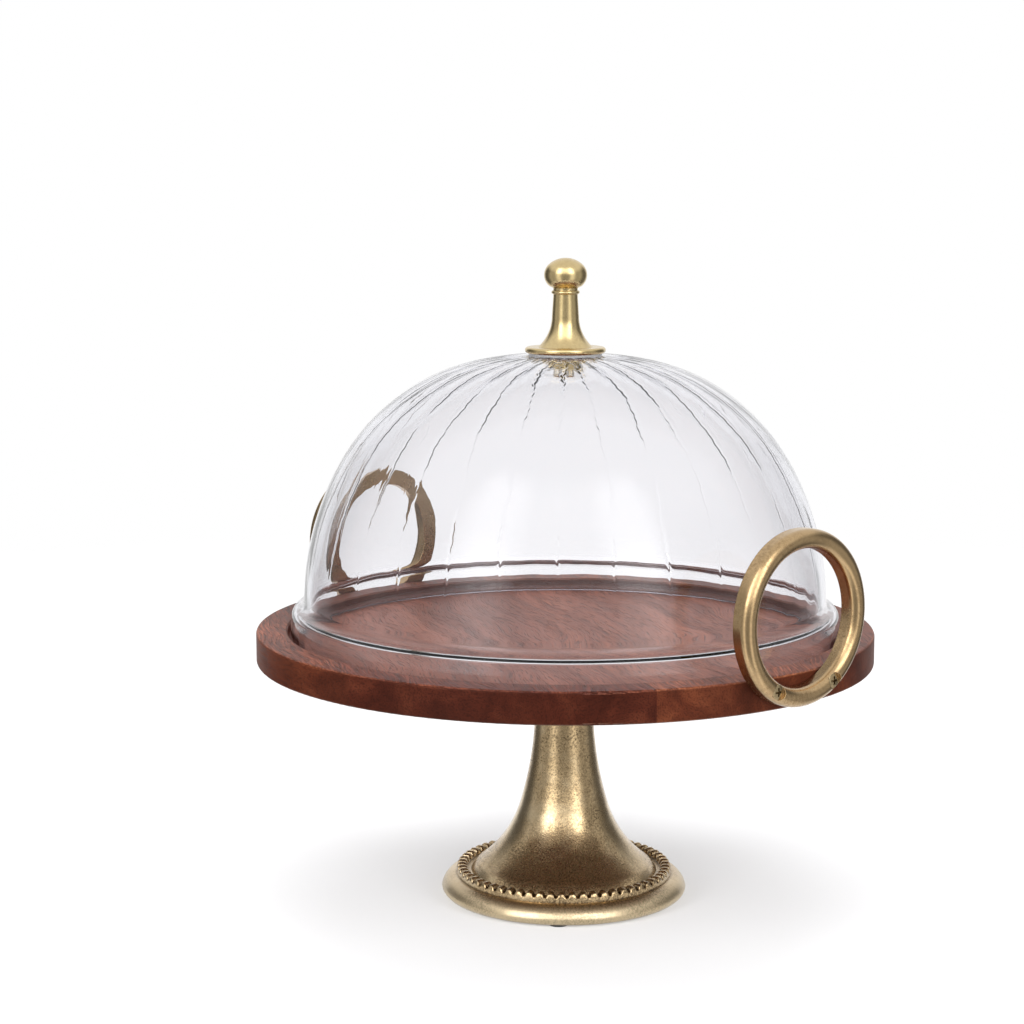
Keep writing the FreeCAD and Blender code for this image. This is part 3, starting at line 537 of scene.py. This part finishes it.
def dome_skin():
    """The outer skin from rim to knob hole, in mm above the rim, with its outward directions."""
    side = (BODY_RADIUS - SIDE_CURVE, SIDE_CENTRE_HEIGHT)
    waist_angle = math.degrees(math.asin((WAIST_HEIGHT - SIDE_CENTRE_HEIGHT) / SIDE_CURVE))
    waist_radius = toward(side, SIDE_CURVE, waist_angle)[0]
    inward, upward = SHOULDER_RADIUS - waist_radius, WAIST_HEIGHT - SHOULDER_HEIGHT
    bend = (inward ** 2 + upward ** 2) / (4 * inward)
    turn = math.degrees(math.asin(upward / 2 / bend))
    half_chord = (SHOULDER_HEIGHT - WALL / 2) / 2
    bulging = math.degrees(math.asin(half_chord / BULGE_CURVE))
    bulge_centre = (SHOULDER_RADIUS - BULGE_CURVE * math.cos(math.radians(bulging)), WALL / 2 + half_chord)
    upper = toward(side, SIDE_CURVE - UPPER_CURVE, SIDE_ANGLE)
    crown_curve = UPPER_CURVE + upper[0] / math.cos(math.radians(UPPER_ANGLE))
    crown_height = toward(upper, UPPER_CURVE - crown_curve, UPPER_ANGLE)[1]
    flat_angle = math.degrees(math.acos(FLAT_RADIUS / crown_curve))
    parts = [
        arc(bulge_centre, BULGE_CURVE, -bulging, bulging, 10),
        arc((SHOULDER_RADIUS - bend, SHOULDER_HEIGHT), bend, 0, turn, 8),
        arc((waist_radius + bend, WAIST_HEIGHT), -bend, turn, 0, 8),
        arc(side, SIDE_CURVE, waist_angle, SIDE_ANGLE, 70),
        arc(upper, UPPER_CURVE, SIDE_ANGLE, UPPER_ANGLE, 90),
        arc((0, crown_height), crown_curve, UPPER_ANGLE, flat_angle, 8),
    ]
    points = np.vstack([parts[0][0]] + [line[1:] for line, outward in parts[1:]])
    outward = np.vstack([parts[0][1]] + [directions[1:] for line, directions in parts[1:]])
    hole_edge = (HOLE_RADIUS, points[-1, 1])
    return np.vstack([points, hole_edge]), np.vstack([outward, (0.0, 1.0)])


def fade(value, low, high):
    """0 up to low, 1 from high on, and a smooth rise between them."""
    part = np.clip((value - low) / (high - low), 0, 1)
    return part * part * (3 - 2 * part)


def rib_wander(travelled, numbers):
    """How far each mould line strays sideways, in mm, and how strong it is, along the profile."""
    def waves(parts):
        turn = numbers * GOLDEN_ANGLE
        return sum(size * np.sin(travelled / length + phase * turn) for size, length, phase in parts)

    strength = USUAL_STRENGTH + waves(STRENGTH_WAVES)
    return waves(STRAY_WAVES), np.clip(strength, LEAST_STRENGTH, MOST_STRENGTH)


def ribbed(line, outward, inside):
    """A skin with its mould ribs: soft flutes outside, narrow wandering lines inside."""
    offsets = np.tile(RIB_COLUMNS, RIBS)
    numbers = np.repeat(np.arange(RIBS), len(RIB_COLUMNS))
    angles = (numbers + offsets) * 2 * math.pi / RIBS + FIRST_RIB_ANGLE
    radius, height = line[:, :1], line[:, 1:]
    pitch = 2 * math.pi * radius / RIBS
    presence = fade(height, *RIBS_FROM_HEIGHTS) * fade(radius, *RIBS_TO_RADII)
    steps = np.linalg.norm(np.diff(line, axis=0, prepend=line[:1]), axis=1)
    stray, strength = rib_wander(np.cumsum(steps)[:, None], numbers)
    if inside:
        depth = LINE_DEPTH + LINE_GAIN * fade(height, *LINE_HEIGHTS)
        width = np.minimum(LINE_WIDTH, LINE_PART * pitch)
        rise = -depth * strength * np.exp(-(offsets * pitch / width) ** 2)
        loose = presence * stray * (1 - fade(np.abs(offsets), *STRAY_PARTS))
        angles = angles + loose / np.maximum(radius, RIBS_TO_RADII[0])
    else:
        flute = FLUTE_RISE * fade(height, *FLUTE_HEIGHTS) * np.cos(2 * math.pi * offsets)
        ridge = RIDGE_RISE + RIDGE_GAIN * fade(height, *RIDGE_HEIGHTS)
        width = np.minimum(RIDGE_WIDTH, RIDGE_PART * pitch)
        rise = flute + ridge * np.exp(-(offsets * pitch / width) ** 2)
    rise = rise * presence
    return spin(radius + rise * outward[:, :1], height + rise * outward[:, 1:], angles)


def make_dome():
    """The blown dome: outer skin, inner skin and rounded lip in one closed mesh."""
    points, outward = dome_skin()
    inner = points - WALL * outward
    inner[-1, 0] = HOLE_RADIUS
    lip, lip_outward = arc((RIM_RADIUS - WALL / 2, WALL / 2), WALL / 2, -180, 0, 8)
    grid = np.concatenate([ribbed(points, outward, False), ribbed(inner[::-1], outward[::-1], True),
                           ribbed(lip[1:-1], lip_outward[1:-1], False)])
    mesh = make_mesh("glass_dome_blown", grid, (0, 0, RIM_HEIGHT_M))
    add_piece("glass_dome_blown", mesh, GLASS, "dome", "glass_dome")


# ---- Studio ----------------------------------------------------------------------------------------

# The photograph's camera: where it is, and in radians how far it turns off the axis and down
VIEW_AZIMUTH = math.radians(47.54)
VIEW_DISTANCE_M, VIEW_HEIGHT_M = 1.1345, 0.3564
VIEW_YAW, VIEW_PITCH = -0.023, -0.143
LENS, SENSOR_WIDTH = 81.55, 36.0
OBJECT_MIDDLE_M = Vector((0, 0, 0.16))
WHITE, BLACK = (1.0, 1.0, 1.0), (0.0, 0.0, 0.0)
# Brightness that reflections see round the horizon: degrees right of the camera, and level
BANDS = ((-180, 1.0), (-150, 1.0), (-136, 0.12), (-108, 0.12), (-90, 0.55), (-62, 0.40), (-50, 0.8),
         (-40, 1.4), (-32, 1.3), (-22, 0.42), (0, 0.36), (22, 0.42), (30, 1.1), (40, 1.4), (50, 0.75),
         (62, 0.40), (90, 0.55), (106, 0.15), (136, 0.15), (150, 1.0), (180, 1.0))
# Soft lamps higher up, with a weaker glow between them, in the same form
LAMPS = ((-180, 0), (-58, 0), (-46, 3.0), (-28, 3.0), (-18, 1.1), (14, 1.1), (24, 3.0), (42, 3.0),
         (52, 0), (180, 0))
BRIGHTEST = 3.0
LAMPS_LOST_IN_GLASS = 0.5
OVERHEAD_GLOW, BOUNCE_GLOW = (0.95, 0.95, 0.96), (0.70, 0.70, 0.72)
FLOOR_COLOURS = (0.88, 0.88, 0.885), (0.92, 0.92, 0.925)
# Soft lights: degrees right of the camera, distance, height, size in metres, watts
SOFTBOXES = {
    "left_softbox": (-46, 1.6, 0.80, (0.7, 1.3), 22),
    "right_softbox": (48, 1.6, 0.75, (0.7, 1.3), 20),
    "front_softbox": (4, 2.2, 0.40, (1.6, 0.6), 14),
    "top_softbox": (180, 0.5, 1.7, (1.4, 1.0), 14),
}
FLOOR_HALF_WIDTH_M = 60.0


def around(azimuth, distance, height):
    """A point seen from the object at an azimuth: 0 is in front (-Y), 90 degrees is +X."""
    return Vector((distance * math.sin(azimuth), -distance * math.cos(azimuth), height))


def make_camera():
    """The photograph's point of view."""
    camera = add_object("camera", bpy.data.cameras.new("camera"))
    camera.data.lens = LENS
    camera.data.sensor_width = SENSOR_WIDTH
    camera.location = around(VIEW_AZIMUTH, VIEW_DISTANCE_M, VIEW_HEIGHT_M)
    camera.rotation_euler = (math.pi / 2 + VIEW_PITCH, 0, VIEW_AZIMUTH - VIEW_YAW)
    bpy.context.scene.camera = camera


def make_softbox(name, azimuth, distance, height, size, watts):
    """A soft light that is never seen, as reflections show the world's bands and lamps instead."""
    light = bpy.data.lights.new(name, "AREA")
    light.shape = "RECTANGLE"
    light.size, light.size_y = size
    light.energy = watts
    holder = add_object(name, light)
    holder.location = around(VIEW_AZIMUTH + math.radians(azimuth), distance, height)
    holder.rotation_euler = (OBJECT_MIDDLE_M - holder.location).to_track_quat("-Z", "Y").to_euler()
    holder.visible_camera = False
    holder.visible_transmission = False
    holder.visible_glossy = False


def make_world():
    """White behind the object; for reflections, a studio with two soft lamps, dimmer in the glass.

    Through the glass it is white straight ahead, and darker where the glass bends the view away.
    """
    world = bpy.data.worlds.new("studio")
    bpy.context.scene.world = world
    world.use_nodes = True
    g = Graph(world.node_tree)
    direction = g.node("TexCoord").outputs["Generated"]
    height = g.height_of(direction)
    facing = g.vector("DOT_PRODUCT", direction, tuple(around(VIEW_AZIMUTH, 1, 0)), "Value")
    right = g.vector("DOT_PRODUCT", direction, tuple(around(VIEW_AZIMUTH + math.pi / 2, 1, 0)), "Value")
    bearing = g.math("ADD", g.math("DIVIDE", g.math("ARCTAN2", right, facing), 2 * math.pi), 0.5)

    def round_horizon(levels):
        ring = g.ramp(bearing, [(angle / 360 + 0.5, level / BRIGHTEST) for angle, level in levels])
        return g.mix(1.0, ring, (BRIGHTEST,) * 3, "MULTIPLY")

    overhead = g.ramp(height, [(0.35, 0.0), (0.62, 1.0)])
    lamp_height = g.ramp(height, [(0.16, 0.0), (0.32, 1.0), (0.76, 1.0), (0.88, 0.0)])
    studio = g.mix(overhead, round_horizon(BANDS), OVERHEAD_GLOW)
    dimmed = g.math("MULTIPLY", g.rays("Singular"), LAMPS_LOST_IN_GLASS)
    lamps = g.mix(dimmed, round_horizon(LAMPS), BLACK)
    studio = g.mix(lamp_height, studio, lamps, "ADD")
    ahead = g.height_of(g.node("TexCoord").outputs["Camera"])
    through = g.ramp(ahead, [(0.55, 0.28), (0.90, 1.0)])
    through = g.mix(g.ramp(ahead, [(0.0, 0.0), (0.15, 1.0)]), studio, through)
    seen = g.mix(g.mirrored(), WHITE, studio)
    seen = g.mix(g.rays("Transmission"), seen, through)
    seen = g.mix(g.rays("Diffuse"), seen, BOUNCE_GLOW)
    backdrop = g.node("Background", {"Color": seen, "Strength": 1.0})
    g.node("OutputWorld", {"Surface": backdrop.outputs[0]})


def make_floor():
    """A pale floor with a faint mottle that runs out into the backdrop. It is clear from below."""
    size = FLOOR_HALF_WIDTH_M
    mesh = bpy.data.meshes.new("floor")
    mesh.from_pydata([(-size, -size, 0), (size, -size, 0), (size, size, 0), (-size, size, 0)], [],
                     [(0, 1, 2, 3)])
    material, g = new_material("floor")
    mottle = g.noise(g.place(), 3.0)
    colour = g.ramp(mottle, [(0.0, FLOOR_COLOURS[0]), (1.0, FLOOR_COLOURS[1])])
    reach = g.vector("LENGTH", g.place(), output="Value")
    away = g.ramp(g.math("MULTIPLY", reach, 0.5), [(0.12, 0.30), (0.60, 1.0)])
    away_shiny = g.ramp(reach, [(0.12, 0.0), (0.35, 1.0)])
    seen = g.mix(g.mirrored(), away, away_shiny)
    seen = g.math("MAXIMUM", seen, g.node("NewGeometry").outputs["Backfacing"])
    near = g.math("MULTIPLY", g.mirrored(), g.ramp(reach, [(0.08, 1.0), (0.16, 0.0)]))
    glow = g.node("Emission", {"Color": (*WHITE, 1), "Strength": 0.7})
    surface = g.node("MixShader", {0: near, 1: g.principled(colour, Roughness=0.75), 2: glow.outputs[0]})
    backdrop = g.node("BsdfTransparent", {"Color": (*WHITE, 1)})
    g.finish(g.node("MixShader", {0: seen, 1: surface.outputs[0], 2: backdrop.outputs[0]}).outputs[0])
    mesh.materials.append(material)
    add_object("floor", mesh)


make_pedestal()
make_dome()
make_camera()
make_world()
make_floor()
for softbox_name, settings in SOFTBOXES.items():
    make_softbox(softbox_name, *settings)
bpy.context.scene.view_settings.view_transform = "Standard"
